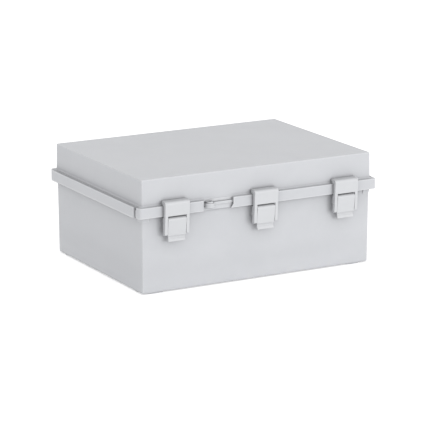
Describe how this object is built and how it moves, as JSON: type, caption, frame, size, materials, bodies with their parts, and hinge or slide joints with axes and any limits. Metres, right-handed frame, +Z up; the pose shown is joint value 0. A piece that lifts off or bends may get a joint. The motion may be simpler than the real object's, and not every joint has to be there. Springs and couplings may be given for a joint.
{
  "type": "hinged latching enclosure",
  "caption": "Light grey hinged polycarbonate enclosure with a skirted lid, a row of over-centre toggle latches on the front, rear hinges, a sealing gasket and clip-on side rails.",
  "frame": {"origin": "centre of the rectangle of wall-mount holes, on the plane of the foot pads", "axes": "+X along the latched front, +Y from the latches to the hinges, +Z up from the feet to the lid"},
  "size_m": [0.4194, 0.328, 0.177],
  "materials": {
    "polycarbonate_shell": "light grey moulded polycarbonate with a fine matte texture",
    "polycarbonate_trim": "light grey moulded polycarbonate, slightly smoother than the shells",
    "gasket_rubber": "dark foamed silicone gasket cord",
    "stainless_steel": "stainless steel, turned",
    "brass_insert": "turned brass"
  },
  "bodies": {
    "base": {"base_shell": "polycarbonate_shell", "side_rail_left": "polycarbonate_shell", "side_rail_right": "polycarbonate_shell", "hinge_left_base_leaf": "polycarbonate_trim", "hinge_mid_base_leaf": "polycarbonate_trim", "hinge_right_base_leaf": "polycarbonate_trim", "hinge_left_pin": "stainless_steel", "hinge_mid_pin": "stainless_steel", "hinge_right_pin": "stainless_steel", "latch_left_lever_pin": "stainless_steel", "latch_mid_lever_pin": "stainless_steel", "latch_right_lever_pin": "stainless_steel", "hinge_base_screws": "stainless_steel", "panel_inserts": "brass_insert"},
    "lid": {"lid_shell": "polycarbonate_shell", "lid_gasket": "gasket_rubber", "hinge_left_lid_leaf": "polycarbonate_trim", "hinge_mid_lid_leaf": "polycarbonate_trim", "hinge_right_lid_leaf": "polycarbonate_trim", "hinge_lid_screws": "stainless_steel"},
    "lever_left": {"latch_left_lever": "polycarbonate_trim"},
    "hook_left": {"latch_left_hook": "polycarbonate_trim", "latch_left_hook_pin": "stainless_steel"},
    "lever_mid": {"latch_mid_lever": "polycarbonate_trim"},
    "hook_mid": {"latch_mid_hook": "polycarbonate_trim", "latch_mid_hook_pin": "stainless_steel"},
    "lever_right": {"latch_right_lever": "polycarbonate_trim"},
    "hook_right": {"latch_right_hook": "polycarbonate_trim", "latch_right_hook_pin": "stainless_steel"}
  },
  "joints": [
    {"name": "lid_hinge", "type": "hinge", "parent": "base", "child": "lid", "pos_m": [0, 0.1613, 0.1144], "axis": [-1, 0, 0], "range_deg": [0, 110]},
    {"name": "lever_left_pivot", "type": "hinge", "parent": "base", "child": "lever_left", "pos_m": [-0.1472, -0.1559, 0.1135], "axis": [-1, 0, 0], "range_deg": [0, 80]},
    {"name": "hook_left_pivot", "type": "hinge", "parent": "lever_left", "child": "hook_left", "pos_m": [-0.1472, -0.1567, 0.0949], "axis": [1, 0, 0], "range_deg": [0, 100]},
    {"name": "lever_mid_pivot", "type": "hinge", "parent": "base", "child": "lever_mid", "pos_m": [0.0058, -0.1559, 0.1135], "axis": [-1, 0, 0], "range_deg": [0, 80]},
    {"name": "hook_mid_pivot", "type": "hinge", "parent": "lever_mid", "child": "hook_mid", "pos_m": [0.0058, -0.1567, 0.0949], "axis": [1, 0, 0], "range_deg": [0, 100]},
    {"name": "lever_right_pivot", "type": "hinge", "parent": "base", "child": "lever_right", "pos_m": [0.1488, -0.1559, 0.1135], "axis": [-1, 0, 0], "range_deg": [0, 80]},
    {"name": "hook_right_pivot", "type": "hinge", "parent": "lever_right", "child": "hook_right", "pos_m": [0.1488, -0.1567, 0.0949], "axis": [1, 0, 0], "range_deg": [0, 100]}
  ],
  "couplings": [
    {"joint": "hook_left_pivot", "follows": "lever_left_pivot", "ratio": 1.25},
    {"joint": "hook_mid_pivot", "follows": "lever_mid_pivot", "ratio": 1.25},
    {"joint": "hook_right_pivot", "follows": "lever_right_pivot", "ratio": 1.25}
  ]
}
